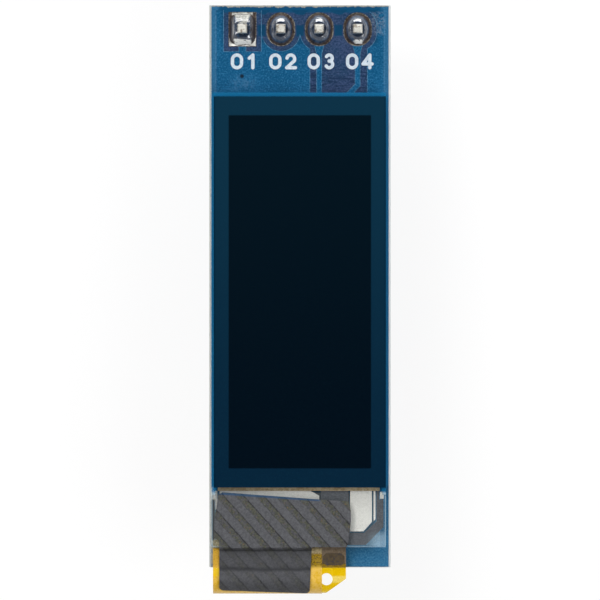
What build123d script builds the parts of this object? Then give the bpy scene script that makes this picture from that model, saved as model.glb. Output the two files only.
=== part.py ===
from build123d import *
import os

# Small display module: a narrow circuit board with a four pin header at one end, a glass
# display panel on its front, and the panel's flexible film folded round the other end and
# soldered to the back. Millimetres. The display faces +Z and the header is at +Y. The
# origin is the middle of the pin row on the header housing's outer face.

# Header
pin_count = 4
pin_pitch = 2.54
pin_width = 0.64
pin_length = 10.9
pin_reach = 6.1
pin_tip = 0.12
housing_depth = 2.54
housing_height = 2.54
housing_notch = 0.45

# Circuit board
board_width = 12.0
board_length = 37.2
core_thickness = 1.1
pin_row_inset = 1.6
score_width = 0.1
score_depth = 0.3
copper_thickness = 0.035
mask_on_copper = 0.02
mask_on_core = 0.045
mask_margin = 0.04
ink_thickness = 0.012

# Header pads and their solder
hole_diameter = 1.06
plating = 0.03
pad_width = 1.8
pad_length = 2.15
square_pad_width = 1.75
square_pad_length = 2.2
pad_clearance = 0.05
solder_height = 0.46
solder_inset = 0.04
solder_corner_share = 0.6

# Copper on the front
pour_margin = 0.3
pour_clearance = 0.38
spoke_width = 0.46
trace_width = 0.33
trace_length = 4.6
trace_bend = 3.7
trace_shift = 0.56
teardrop_width = 0.62
teardrop_length = 0.55
window_left = 0.62
window_right = 0.65
window_flare = 0.57
window_flare_start = 0.45
window_flare_end = 1.1
via_diameter = 0.3
via_land = 0.6
ground_via_x = 3.84
ground_via_y = 3.1

# White pin numbers on the front
number_height = 0.84
number_width = 0.6
number_stroke = 0.22
number_spacing = 1.02
number_row = 2.12
number_shift = 0.15

# Display panel, front to back
panel_inset = 5.82
panel_shift = -0.08
polarizer_shift = 0.07
glass_width = 11.5
glass_length = 30.0
glass_thickness = 0.5
polarizer_width = 11.34
polarizer_length = 25.8
polarizer_thickness = 0.2
polarizer_inset = 0.26
emitter_width = 5.584
emitter_length = 22.384
emitter_thickness = 0.015
cathode_side_clearance = 0.15
cathode_end_clearance = 0.7
cathode_thickness = 0.03
seal_width = 0.5
seal_inset = 0.3
seal_thickness = 0.03
cap_width = 11.3
cap_length = 26.3
cap_thickness = 0.5
cavity_wall = 0.85
cavity_depth = 0.25
desiccant_margin = 1.2
desiccant_thickness = 0.15
tape_width = 9.0
tape_length = 24.0
tape_thickness = 0.2

# Metal tracks and driver chip on the hidden face of the glass ledge
track_thickness = 0.02
chip_width = 8.0
chip_length = 0.85
chip_height = 0.3
chip_inset = 0.12
chip_side = 2.5

# Flexible film, folded round the end of the board
band_margin = 0.25
band_width = 7.2
bond_length = 0.46
film_thickness = 0.05
lead_thickness = 0.02
coverlay_thickness = 0.03
coverlay_gap = 0.1
fold_reach = 1.75
tail_length = 4.6
finger_length = 1.2
lead_count = 14
lead_pitch = 0.5
lead_width = 0.25
ear_width = 1.585
ear_chamfer_width = 1.32
ear_chamfer_length = 0.97
ear_hole_diameter = 0.8
ear_hole_inset = 0.3
ear_hole_reach = 0.76
patch_width = 1.42
patch_length = 0.8
patch_corner = 0.2
patch_inset = 0.1
patch_reach = 0.56

# Ribbed cover tape over the ledge and the fold
cover_thickness = 0.08
cover_step = 0.22
cover_band_inset = 0.42
cover_band_width = 6.12
cover_band_slant = 0.27
cover_band_taper = 0.16
cover_band_corner = 0.28
cover_band_edge = 0.02
rib_pitch = 0.985
rib_gap = 0.4
rib_height = 0.03
rib_angle = 48
rib_shift = -0.93

# Parts soldered to the back
chip_part_length = 1.6
chip_part_width = 0.8
capacitor_height = 0.8
resistor_height = 0.5
terminal_length = 0.32
terminal_wall = 0.03
land_overhang = 0.28
land_margin = 0.05
land_clearance = 0.22
part_row_inset = 8.3
part_row_pitch = 1.7
part_row_margin = 1.4
part_columns = 6
second_row_step = 3.4
supply_row_inset = 30.4
regulator_width = 2.9
regulator_depth = 1.35
regulator_height = 1.05
regulator_chamfer = 0.12
regulator_lead_width = 0.4
regulator_lead_pitch = 0.95
regulator_lead_reach = 0.55
regulator_lead_thickness = 0.15
regulator_foot = 0.35
body_lift = 0.06
regulator_x = 1.6
diode_length = 1.7
diode_width = 1.25
diode_height = 0.9
diode_lead_width = 0.35
diode_lead_reach = 0.42
diode_lead_thickness = 0.12
diode_x = 4.0
diode_inset = 4.0
fillet_length = 0.22
fillet_rise_share = 0.55
tail_pad_length = 1.5
tail_pad_lap = 0.5
tail_pad_width = 0.28
tail_solder_length = 0.7
tail_solder_rise = 0.07
tail_solder_lap = 0.35
tail_trace_width = 0.16
tail_trace_length = 0.7
tail_via_land = 0.34
marking_width = 0.13
marking_gap = 0.3

# The numbers' straight strokes, from point to point, and their curved ones: the middle's
# height, the radius, and the angles at which the curve starts and how far it sweeps
stroke_shares = {
    1: [((-0.35, 0.25), (0.05, 0.5)), ((0.05, 0.5), (0.05, -0.5))],
    2: [((0.4, 0.05), (-0.45, -0.5)), ((-0.45, -0.5), (0.5, -0.5))],
    3: [],
    4: [((0.25, -0.5), (0.25, 0.5)), ((0.25, 0.5), (-0.5, -0.2)), ((-0.5, -0.2), (0.5, -0.2))],
}
bow_shares = {
    1: [],
    2: [(0.2, 0.3, 170, -200)],
    3: [(0.26, 0.24, 150, -240), (-0.23, 0.27, 90, -240)],
    4: [],
}

# Clearance for cuts that pass right through
overrun = 1.0

# Heights, from the housing's outer face up to the display's face
board_back = housing_height
core_back = board_back + mask_on_copper + copper_thickness
core_front = core_back + core_thickness
board_front = core_front + copper_thickness + mask_on_copper
land_back = core_back - copper_thickness
cap_back = board_front + tape_thickness
seal_back = cap_back + cap_thickness
glass_back = seal_back + seal_thickness
glass_front = glass_back + glass_thickness

# Places along the board
board_top = pin_row_inset
board_end = board_top - board_length
board_middle = (board_top + board_end) / 2
glass_top = board_top - panel_inset
glass_end = glass_top - glass_length
glass_middle = (glass_top + glass_end) / 2
cap_middle = glass_top - cap_length / 2
cap_end = glass_top - cap_length
ledge_length = cap_end - glass_end
ledge_left = panel_shift - glass_width / 2
ledge_tracks = glass_back - track_thickness
polarizer_middle = glass_top - polarizer_inset - polarizer_length / 2
pin_places = [(number - (pin_count - 1) / 2) * pin_pitch for number in range(pin_count)]
mask_width = board_width - 2 * (score_width + mask_margin)
mask_length = board_length - 2 * mask_margin
pour_width = mask_width - 2 * pour_margin
pour_length = mask_length - 2 * pour_margin

# The film's inside surface runs from the ledge, round a half circle, to the board's back
film_front = glass_back - track_thickness - lead_thickness - film_thickness
film_back = board_back
film_radius = (film_front - film_back) / 2
film_stack = film_thickness + lead_thickness + coverlay_thickness
fold_center = board_end - fold_reach + film_radius + film_stack
fold_height = (film_front + film_back) / 2
bond_start = glass_end + bond_length
tail_end = board_end + tail_length
band_left = board_width / 2 - band_margin
band_center = band_width / 2 - band_left
lead_places = [band_center + (lead - (lead_count - 1) / 2) * lead_pitch for lead in range(lead_count)]
band_right = band_width - band_left
ear_edge = band_right + ear_width
fold_end = board_end - fold_reach

os.makedirs("parts", exist_ok=True)


def save(piece, name):
    """Label a finished piece and write it under its own name."""
    piece.part.label = name
    export_step(piece.part, f"parts/{name}.step")


def pad_outline(number, grow, mode=Mode.ADD):
    """One header pad: the first is square, the others are ovals."""
    with Locations((pin_places[number], 0)):
        if number == 0:
            Rectangle(square_pad_width + 2 * grow, square_pad_length + 2 * grow, mode=mode)
        else:
            SlotOverall(pad_length + 2 * grow, pad_width + 2 * grow, rotation=90, mode=mode)


def all_pads(grow, mode=Mode.ADD):
    """Every header pad, grown all round."""
    for number in range(pin_count):
        pad_outline(number, grow, mode)


def fold_section(inner, outer, front_start, back_start):
    """Section of one layer of the folded film, between two depths from its inside face."""
    front_in = film_front + inner
    front_out = film_front + outer
    back_in = film_back - inner
    back_out = film_back - outer
    with BuildLine() as section:
        Line((front_start, front_in), (fold_center, front_in))
        inside = (fold_center - film_radius - inner, fold_height)
        ThreePointArc((fold_center, front_in), inside, (fold_center, back_in))
        Polyline(
            (fold_center, back_in),
            (back_start, back_in),
            (back_start, back_out),
            (fold_center, back_out),
        )
        outside = (fold_center - film_radius - outer, fold_height)
        ThreePointArc((fold_center, back_out), outside, (fold_center, front_out))
        Polyline((fold_center, front_out), (front_start, front_out), (front_start, front_in))
    make_face(section.edges())


def cover_section(thickness, mode=Mode.ADD):
    """Section of the cover tape: along the ledge, down its edge and over the fold."""
    front = film_front + film_stack
    radius = film_radius + film_stack
    with BuildLine() as section:
        Polyline(
            (cap_end, glass_front),
            (glass_end, glass_front),
            (glass_end - cover_step, front),
            (fold_center, front),
        )
        CenterArc((fold_center, fold_height), radius, 90, 90)
        offset(amount=thickness, side=Side.RIGHT, kind=Kind.INTERSECTION)
    make_face(section.edges(), mode=mode)


def ledge_outline(shares):
    """A shape on the ledge, from shares of its width and length counted from its lower left."""
    corners = []
    for across, along in shares:
        corners.append((ledge_left + across * glass_width, glass_end + along * ledge_length))
    with BuildLine() as outline:
        Polyline(*corners, close=True)
    make_face(outline.edges())


def sheet(width, length, middle, height, thickness, across=panel_shift):
    """A flat rectangular layer of the panel, added to the piece being built."""
    with BuildSketch(Plane.XY.offset(height)) as layer:
        with Locations((across, middle)):
            Rectangle(width, length)
    extrude(layer.sketch, amount=thickness)


def stroke(start, end):
    """A straight stroke of a number, with round ends, between shares of the number's size."""
    first = Vector(start[0] * number_width, start[1] * number_height)
    last = Vector(end[0] * number_width, end[1] * number_height)
    along = last - first
    turn = Vector(1, 0, 0).get_signed_angle(along, Vector(0, 0, 1))
    with Locations((first + last) / 2):
        SlotCenterToCenter(along.length, number_stroke, rotation=turn)


def ring():
    """The number nought: an upright loop."""
    outer = number_width + number_stroke
    tall = number_height + number_stroke
    SlotOverall(tall, outer, rotation=90)
    SlotOverall(tall - 2 * number_stroke, outer - 2 * number_stroke, rotation=90, mode=Mode.SUBTRACT)


def bow(middle_share, radius_share, start, sweep):
    """A curved stroke about a point on the number's middle line, its radius a share of the height."""
    middle = (0, middle_share * number_height)
    radius = radius_share * number_height
    SlotArc(CenterArc(middle, radius, start, sweep, mode=Mode.PRIVATE), number_stroke)


def numeral(value):
    """Sketch of one number from 1 to 4, drawn about its own middle."""
    with BuildSketch() as shape:
        for start, end in stroke_shares[value]:
            stroke(start, end)
        for middle_share, radius_share, start, sweep in bow_shares[value]:
            bow(middle_share, radius_share, start, sweep)
    return shape.sketch


# Front copper seen from above: a pour with windows round the pads and the two traces
left_trace = pin_places[2]
right_trace = pin_places[3]
trace_end = -trace_length

with BuildSketch() as front_windows:
    all_pads(pour_clearance)
    with BuildLine():
        Polyline(
            (left_trace - window_left, 0),
            (right_trace + window_right + window_flare, 0),
            (right_trace + window_right + window_flare, -window_flare_start),
            (right_trace + window_right, -window_flare_end),
            (right_trace + window_right, trace_end - pour_clearance),
            (left_trace - window_left, trace_end - pour_clearance),
            close=True,
        )
    make_face()

with BuildSketch() as front_traces:
    with BuildLine():
        Line((left_trace, 0), (left_trace, trace_end))
    trace(line_width=trace_width)
    with BuildLine():
        Polyline(
            (right_trace, 0),
            (right_trace, -trace_bend),
            (right_trace - trace_shift, -trace_bend - trace_shift),
            (right_trace - trace_shift, trace_end),
        )
    trace(line_width=trace_width)
    with Locations((left_trace, trace_end), (right_trace - trace_shift, trace_end)):
        Circle(via_land / 2)
    for place in (left_trace, right_trace):
        with BuildLine():
            Polyline(
                (place - teardrop_width / 2, 0),
                (place + teardrop_width / 2, 0),
                (place + teardrop_width / 2, -pad_length / 2),
                (place + trace_width / 2, -pad_length / 2 - teardrop_length),
                (place - trace_width / 2, -pad_length / 2 - teardrop_length),
                (place - teardrop_width / 2, -pad_length / 2),
                close=True,
            )
        make_face()

via_places = [
    (left_trace, trace_end),
    (right_trace - trace_shift, trace_end),
    (-ground_via_x, -ground_via_y),
    (-ground_via_x, board_middle),
    (ground_via_x, board_middle),
    (ground_via_x, board_end + ground_via_y),
]

with BuildSketch() as front_pattern:
    with Locations((0, board_middle)):
        Rectangle(pour_width, pour_length)
    add(front_windows.sketch, mode=Mode.SUBTRACT)
    add(front_traces.sketch)
    with Locations((pin_places[0], -square_pad_length / 2 - pour_clearance / 2)):
        Rectangle(spoke_width, 2 * pour_clearance)
    all_pads(0, Mode.SUBTRACT)

# Core, milled along its two long edges by the scoring that parts it from its panel
with BuildPart() as circuit_board:
    with BuildSketch(Plane.XZ.offset(-board_top)):
        with BuildLine():
            half = board_width / 2
            Polyline(
                (half - score_width, core_front),
                (half, core_front - score_depth),
                (half, core_back + score_depth),
                (half - score_width, core_back),
                (score_width - half, core_back),
                (-half, core_back + score_depth),
                (-half, core_front - score_depth),
                (score_width - half, core_front),
                close=True,
            )
        make_face()
    extrude(amount=board_length)
    with BuildSketch(Plane.XY.offset(core_back - overrun)):
        with GridLocations(pin_pitch, 0, pin_count, 1):
            Circle(hole_diameter / 2)
        with Locations(*via_places):
            Circle(via_diameter / 2)
    extrude(amount=core_thickness + 2 * overrun, mode=Mode.SUBTRACT)
save(circuit_board, "circuit_board")

# Header pads, plated through
for number in range(pin_count):
    with BuildPart() as pad:
        with BuildSketch(Plane.XY.offset(core_front)):
            pad_outline(number, 0)
        extrude(amount=copper_thickness)
        with BuildSketch(Plane.XY.offset(core_back)):
            pad_outline(number, 0)
        extrude(amount=-copper_thickness)
        with BuildSketch(Plane.XY.offset(core_back)):
            with Locations((pin_places[number], 0)):
                Circle(hole_diameter / 2)
        extrude(amount=core_thickness)
        with BuildSketch(Plane.XY.offset(land_back)):
            with Locations((pin_places[number], 0)):
                Circle(hole_diameter / 2 - plating)
        extrude(amount=core_thickness + 2 * copper_thickness, mode=Mode.SUBTRACT)
    save(pad, f"pad_{number + 1}")

# Front copper, with its vias through the core
with BuildPart() as front_copper:
    with BuildSketch(Plane.XY.offset(core_front)):
        add(front_pattern.sketch)
    extrude(amount=copper_thickness)
    with BuildSketch(Plane.XY.offset(core_back)):
        with Locations(*via_places):
            Circle(via_diameter / 2)
    extrude(amount=core_thickness)
save(front_copper, "front_copper")

# Front solder mask: thicker over the bare core, raised over the copper
with BuildPart() as front_solder_mask:
    with BuildSketch(Plane.XY.offset(core_front)):
        with Locations((0, board_middle)):
            Rectangle(mask_width, mask_length)
    extrude(amount=mask_on_core)
    with BuildSketch(Plane.XY.offset(core_front)):
        add(front_pattern.sketch)
    extrude(amount=copper_thickness + mask_on_copper)
    add(front_copper.part, mode=Mode.SUBTRACT)
    with BuildSketch(Plane.XY.offset(core_front)):
        all_pads(pad_clearance)
    extrude(amount=copper_thickness + mask_on_copper, mode=Mode.SUBTRACT)
save(front_solder_mask, "front_solder_mask")

# Header housing: four blocks in a row, notched where they meet
with BuildSketch() as housing_block:
    Rectangle(pin_pitch, housing_depth)
    chamfer(housing_block.vertices(), housing_notch)

with BuildPart() as header_housing:
    with BuildSketch():
        with GridLocations(pin_pitch, 0, pin_count, 1):
            add(housing_block.sketch)
        with GridLocations(pin_pitch, 0, pin_count, 1):
            Rectangle(pin_width, pin_width, mode=Mode.SUBTRACT)
    extrude(amount=housing_height)
save(header_housing, "header_housing")

# Header pins, pressed through the housing, and the solder that joins them to the pads
solder_base = core_front + copper_thickness
solder_shares = [
    (0, 1, 1),
    (0.27, 0.92, 0.92),
    (0.64, 0.76, 0.76),
    (0.87, 0.64, 0.62),
    (1, 0.55, 0.5),
]

for number in range(pin_count):
    place = pin_places[number]
    with BuildPart() as header_pin:
        with BuildSketch(Plane.XY.offset(-pin_reach)):
            with Locations((place, 0)):
                Rectangle(pin_width, pin_width)
        extrude(amount=pin_length)
        ends = header_pin.faces().filter_by(Axis.Z).edges()
        chamfer(ends, pin_tip)
    save(header_pin, f"header_pin_{number + 1}")

    with BuildPart() as solder_joint:
        for height_share, width_share, length_share in solder_shares:
            with BuildSketch(Plane.XY.offset(solder_base + height_share * solder_height)):
                width = width_share * (pad_width / 2 - solder_inset)
                length = length_share * (pad_length / 2 - solder_inset)
                with Locations((place, 0)):
                    if number == 0:
                        RectangleRounded(2 * width, 2 * length, solder_corner_share * width)
                    else:
                        Ellipse(width, length)
        loft()
        with BuildSketch(Plane.XY.offset(land_back)):
            with Locations((place, 0)):
                Circle(hole_diameter / 2 - plating)
        extrude(amount=core_thickness + 2 * copper_thickness)
        add(header_pin.part, mode=Mode.SUBTRACT)
    save(solder_joint, f"solder_joint_{number + 1}")

# White pin numbers, each with a leading nought, filling the mask's steps beneath them
with BuildPart() as pin_numbers:
    for number in range(pin_count):
        middle = pin_places[number] + number_shift
        with BuildSketch(Plane.XY.offset(core_front + mask_on_core)):
            with Locations((middle - number_spacing / 2, -number_row)):
                ring()
            with Locations((middle + number_spacing / 2, -number_row)):
                add(numeral(number + 1))
        extrude(amount=board_front + ink_thickness - core_front - mask_on_core)
    add(front_solder_mask.part, mode=Mode.SUBTRACT)
save(pin_numbers, "pin_numbers")

# Display panel
with BuildPart() as mounting_tape:
    sheet(tape_width, tape_length, cap_middle, board_front, tape_thickness)
save(mounting_tape, "mounting_tape")

cavity_width = cap_width - 2 * cavity_wall
cavity_length = cap_length - 2 * cavity_wall
cavity_floor = seal_back - cavity_depth

with BuildPart() as cap_glass:
    sheet(cap_width, cap_length, cap_middle, cap_back, cap_thickness)
    with BuildSketch(Plane.XY.offset(cavity_floor)):
        with Locations((panel_shift, cap_middle)):
            Rectangle(cavity_width, cavity_length)
    extrude(amount=cavity_depth, mode=Mode.SUBTRACT)
save(cap_glass, "cap_glass")

with BuildPart() as desiccant_sheet:
    desiccant_width = cavity_width - 2 * desiccant_margin
    desiccant_length = cavity_length - 2 * desiccant_margin
    sheet(desiccant_width, desiccant_length, cap_middle, cavity_floor, desiccant_thickness)
save(desiccant_sheet, "desiccant_sheet")

# The seal stands back from the edges of the cap, but for its end beside the ledge
with BuildPart() as seal_bead:
    bead_width = cap_width - 2 * seal_inset
    bead_length = cap_length - seal_inset
    bead_middle = cap_middle - seal_inset / 2
    sheet(bead_width, bead_length, bead_middle, seal_back, seal_thickness)
    with BuildSketch(Plane.XY.offset(seal_back)):
        with Locations((panel_shift, bead_middle)):
            Rectangle(bead_width - 2 * seal_width, bead_length - 2 * seal_width)
    extrude(amount=seal_thickness, mode=Mode.SUBTRACT)
save(seal_bead, "seal_bead")

with BuildPart() as emitter_layer:
    sheet(emitter_width, emitter_length, cap_middle, glass_back, -emitter_thickness)
save(emitter_layer, "emitter_layer")

with BuildPart() as cathode_film:
    cathode_width = cap_width - 2 * (seal_inset + seal_width + cathode_side_clearance)
    cathode_length = cap_length - 2 * (seal_inset + seal_width + cathode_end_clearance)
    sheet(cathode_width, cathode_length, cap_middle, glass_back, -cathode_thickness)
    add(emitter_layer.part, mode=Mode.SUBTRACT)
save(cathode_film, "cathode_film")

with BuildPart() as display_glass:
    sheet(glass_width, glass_length, glass_middle, glass_back, glass_thickness)
save(display_glass, "display_glass")

with BuildPart() as polarizer:
    polarizer_center = panel_shift + polarizer_shift
    sheet(
        polarizer_width,
        polarizer_length,
        polarizer_middle,
        glass_front,
        polarizer_thickness,
        polarizer_center,
    )
save(polarizer, "polarizer")

# Metal on the ledge's hidden face: bright contact plates, darker bands, and the contacts
# that meet the film's leads
left_plate_shares = [(0.045, 1), (0.566, 1), (0.617, 0.916), (0.617, 0.7), (0.045, 0.7)]
right_plate_shares = [(0.795, 1), (0.92, 1), (0.92, 0.45), (0.871, 0.277), (0.795, 0.277)]
left_line_shares = [(0.021, 1), (0.032, 1), (0.032, 0.72), (0.021, 0.655)]
right_line_shares = [(0.9295, 1), (0.9405, 1), (0.9405, 0.495), (0.9295, 0.46)]
left_tab_shares = [(0.002, 0.985), (0.013, 0.985), (0.013, 0.86), (0.002, 0.86)]
right_tab_shares = [(0.966, 0.985), (0.988, 0.985), (0.988, 0.86), (0.966, 0.86)]
plate_table_shares = [
    left_plate_shares,
    right_plate_shares,
    left_line_shares,
    right_line_shares,
    left_tab_shares,
    right_tab_shares,
]
center_band_shares = [(0.628, 1), (0.785, 1), (0.785, 0.72), (0.628, 0.72)]
right_band_shares = [
    (0.946, 1),
    (0.961, 1),
    (0.961, 0.85),
    (0.986, 0.85),
    (0.986, 0.352),
    (0.885, 0.035),
    (0.74, 0.035),
    (0.74, 0.25),
    (0.876, 0.25),
    (0.946, 0.455),
]
left_band_shares = [(0.002, 0.84), (0.015, 0.84), (0.015, 0.13), (0.002, 0.13)]
band_table_shares = [center_band_shares, right_band_shares, left_band_shares]

with BuildPart() as contact_plates:
    with BuildSketch(Plane.XY.offset(ledge_tracks)):
        for shares in plate_table_shares:
            ledge_outline(shares)
        for place in lead_places:
            with Locations((place, glass_end)):
                Rectangle(lead_width, 2 * bond_length, align=(Align.CENTER, Align.MIN))
    extrude(amount=track_thickness)
save(contact_plates, "contact_plates")

with BuildPart() as track_bands:
    with BuildSketch(Plane.XY.offset(ledge_tracks)):
        for shares in band_table_shares:
            ledge_outline(shares)
        for place in lead_places:
            with Locations((place, glass_end)):
                Rectangle(lead_width, 2 * bond_length, align=(Align.CENTER, Align.MIN), mode=Mode.SUBTRACT)
    extrude(amount=track_thickness)
save(track_bands, "track_bands")

with BuildPart() as driver_chip:
    with BuildSketch(Plane.XY.offset(ledge_tracks)):
        with Locations((glass_width / 2 - chip_side, cap_end - chip_inset)):
            Rectangle(chip_width, chip_length, align=(Align.MAX, Align.MAX))
    extrude(amount=-chip_height)
save(driver_chip, "driver_chip")

# Folded film: base film with its ear, copper leads, and a cover layer over the leads
with BuildPart() as flex_film:
    with BuildSketch(Plane.YZ.offset(-band_left)):
        fold_section(0, film_thickness, bond_start, tail_end)
    extrude(amount=band_width + ear_width)
    with BuildSketch(Plane.XY.offset(fold_height)):
        with Locations((band_right, tail_end + overrun)):
            ear_cut = tail_end + 2 * overrun - fold_end
            Rectangle(ear_width + overrun, ear_cut, align=(Align.MIN, Align.MAX))
    extrude(amount=-film_radius - film_thickness - overrun, mode=Mode.SUBTRACT)
    with BuildSketch(Plane.XY.offset(fold_height)):
        with BuildLine():
            Polyline(
                (ear_edge + overrun, fold_center),
                (ear_edge, fold_center),
                (ear_edge - ear_chamfer_width, fold_center - ear_chamfer_length),
                (ear_edge - ear_chamfer_width, fold_end - overrun),
                (ear_edge + overrun, fold_end - overrun),
                close=True,
            )
        make_face()
        with Locations((band_right + ear_hole_inset, board_end - ear_hole_reach)):
            Circle(ear_hole_diameter / 2)
    extrude(amount=film_radius + film_thickness + overrun, mode=Mode.SUBTRACT)
save(flex_film, "flex_film")

with BuildPart() as flex_leads:
    for place in lead_places:
        with BuildSketch(Plane.YZ.offset(place - lead_width / 2)):
            fold_section(film_thickness, film_thickness + lead_thickness, bond_start, tail_end)
        extrude(amount=lead_width)
save(flex_leads, "flex_leads")

with BuildPart() as flex_coverlay:
    with BuildSketch(Plane.YZ.offset(-band_left)):
        fold_section(film_thickness, film_stack, glass_end - coverlay_gap, tail_end - finger_length)
    extrude(amount=band_width)
    add(flex_leads.part, mode=Mode.SUBTRACT)
save(flex_coverlay, "flex_coverlay")

with BuildPart() as ear_patch:
    with BuildSketch(Plane.XY.offset(film_front + film_thickness)) as patch:
        with Locations((ear_edge - patch_inset - patch_width / 2, board_end + patch_reach)):
            Rectangle(patch_width, patch_length)
        chamfer(patch.vertices(), patch_corner)
    extrude(amount=ink_thickness)
save(ear_patch, "ear_patch")

# Cover tape: one strip with raised slanting ribs, wide on the ledge and narrow on the fold,
# where it ends with round corners on a slanting line
cover_shares = [
    (0.062, 0.979),
    (0.608, 0.853),
    (0.788, 0.819),
    (0.799, 0.637),
    (0.799, 0.458),
    (0.792, 0.272),
    (0.781, 0.043),
    (0.7735, 0),
    (0.043, 0),
    (0.043, 0.123),
    (0.013, 0.157),
    (0.014, 0.458),
    (0.025, 0.66),
    (0.037, 0.934),
]
rib_count = 13
rib_reach = 2 * rib_count * rib_pitch

with BuildPart() as rib_gaps:
    with BuildSketch(Plane.YZ.offset(ledge_left)):
        cover_section(cover_thickness)
        cover_section(cover_thickness - rib_height, Mode.SUBTRACT)
    extrude(amount=glass_width)
    with BuildSketch(Plane.XY.offset(-overrun)):
        with Locations(Location((rib_shift, glass_end), 90 - rib_angle)):
            with GridLocations(rib_pitch, 0, rib_count, 1):
                Rectangle(rib_gap, rib_reach)
    extrude(amount=glass_front + 2 * overrun, mode=Mode.INTERSECT)

cover_left = cover_band_inset - band_left
cover_right = cover_left + cover_band_width
cover_bottom = fold_end + cover_band_edge

with BuildSketch() as cover_band:
    with BuildLine():
        Polyline(
            (cover_left, glass_end + bond_length / 2),
            (cover_left, cover_bottom + cover_band_slant),
            (cover_right - cover_band_taper, cover_bottom),
            (cover_right, glass_end + bond_length / 2),
            close=True,
        )
    make_face()
    fillet(cover_band.vertices().sort_by(Axis.Y)[:2], cover_band_corner)

with BuildPart() as cover_tape:
    with BuildSketch(Plane.YZ.offset(ledge_left)):
        cover_section(cover_thickness)
    extrude(amount=glass_width)
    add(rib_gaps.part, mode=Mode.SUBTRACT)
    with BuildSketch(Plane.XY.offset(fold_height)):
        ledge_outline(cover_shares)
        add(cover_band.sketch)
    extrude(amount=glass_front, mode=Mode.INTERSECT)
save(cover_tape, "cover_tape")

# Places of the parts on the back: each two ended part lies along the board
first_row = board_end + part_row_inset
second_row = first_row + second_row_step
supply_row = board_end + supply_row_inset
first_column = part_row_margin - board_width / 2
columns = [column * part_row_pitch + first_column for column in range(part_columns)]
capacitor_places = [(column, first_row) for column in columns[:-1]]
capacitor_places += [(columns[-2], second_row), (columns[1], supply_row)]
resistor_places = [(columns[-1], first_row)]
resistor_places += [(column, second_row) for column in columns[: part_columns // 2]]
diode_place = (diode_x, board_end + diode_inset)
regulator_place = (regulator_x, supply_row)
regulator_lead_places = [
    (regulator_x - regulator_lead_pitch, -1),
    (regulator_x + regulator_lead_pitch, -1),
    (regulator_x, 1),
]
land_width = chip_part_width + 2 * land_margin
land_length = terminal_length + land_overhang
land_step = chip_part_length + 2 * land_overhang - land_length
regulator_land = regulator_lead_reach + land_overhang
regulator_land_step = regulator_depth / 2 + regulator_land / 2
diode_land = diode_lead_reach + land_overhang
diode_land_step = diode_length / 2 + diode_land / 2


def part_lands(grow):
    """Copper lands under the parts on the back, grown all round."""
    with Locations(*capacitor_places, *resistor_places):
        with GridLocations(0, land_step, 1, 2):
            Rectangle(land_width + 2 * grow, land_length + 2 * grow)
    for place, side in regulator_lead_places:
        with Locations((place, supply_row + side * regulator_land_step)):
            width = regulator_lead_width + 2 * land_margin + 2 * grow
            Rectangle(width, regulator_land + 2 * grow)
    with Locations(diode_place):
        with GridLocations(0, 2 * diode_land_step, 1, 2):
            Rectangle(diode_lead_width + 2 * land_margin + 2 * grow, diode_land + 2 * grow)


def tail_pads(grow):
    """The row of pads that the film's tail is soldered to, grown all round."""
    for place in lead_places:
        with Locations((place, tail_end - tail_pad_lap - grow)):
            size = (tail_pad_width + 2 * grow, tail_pad_length + 2 * grow)
            Rectangle(*size, align=(Align.CENTER, Align.MIN))


tail_pads_end = tail_end - tail_pad_lap + tail_pad_length

# Back copper: lands and pads in windows of a ground pour, with a short trace from each pad
# of the tail to its own small via land
with BuildSketch() as back_windows:
    part_lands(land_clearance)
    all_pads(land_clearance)
    with Locations((band_center, tail_end - tail_pad_lap - land_clearance)):
        window = (lead_count * lead_pitch + land_clearance, tail_pad_length + 2 * tail_trace_length)
        Rectangle(*window, align=(Align.CENTER, Align.MIN))

with BuildSketch() as back_pattern:
    with Locations((0, board_middle)):
        Rectangle(pour_width, pour_length)
    add(back_windows.sketch, mode=Mode.SUBTRACT)
    part_lands(0)
    tail_pads(0)
    for lead, place in enumerate(lead_places):
        reach = tail_trace_length if lead % 2 else tail_trace_length / 2
        with Locations((place, tail_pads_end)):
            Rectangle(tail_trace_width, reach, align=(Align.CENTER, Align.MIN))
        with Locations((place, tail_pads_end + reach)):
            Rectangle(tail_via_land, tail_via_land)

with BuildPart() as back_copper:
    with BuildSketch(Plane.XY.offset(core_back)):
        add(back_pattern.sketch)
    extrude(amount=-copper_thickness)
save(back_copper, "back_copper")

with BuildPart() as back_solder_mask:
    with BuildSketch(Plane.XY.offset(core_back)):
        with Locations((0, board_middle)):
            Rectangle(mask_width, mask_length)
    extrude(amount=-mask_on_core)
    with BuildSketch(Plane.XY.offset(core_back)):
        add(back_pattern.sketch)
    extrude(amount=-copper_thickness - mask_on_copper)
    add(back_copper.part, mode=Mode.SUBTRACT)
    with BuildSketch(Plane.XY.offset(core_back)):
        all_pads(pad_clearance)
        part_lands(pad_clearance)
        tail_pads(pad_clearance)
    extrude(amount=-copper_thickness - mask_on_copper, mode=Mode.SUBTRACT)
save(back_solder_mask, "back_solder_mask")

# White outlines round the parts on the back
outline_width = land_width + 2 * marking_gap + marking_width
outline_length = land_step + land_length + 2 * marking_gap + marking_width

with BuildPart() as back_markings:
    with BuildSketch(Plane.XY.offset(board_back - ink_thickness)):
        with Locations(*capacitor_places, *resistor_places):
            with GridLocations(outline_width, 0, 2, 1):
                Rectangle(marking_width, outline_length)
        with Locations(regulator_place):
            with GridLocations(regulator_width + 2 * marking_gap, 0, 2, 1):
                Rectangle(marking_width, regulator_depth + 2 * marking_gap)
        with Locations(diode_place):
            with GridLocations(diode_width + 2 * marking_gap, 0, 2, 1):
                Rectangle(marking_width, diode_length + 2 * marking_gap)
    extrude(amount=ink_thickness + mask_on_copper)
    add(back_solder_mask.part, mode=Mode.SUBTRACT)
    add(back_copper.part, mode=Mode.SUBTRACT)
save(back_markings, "back_markings")


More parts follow.
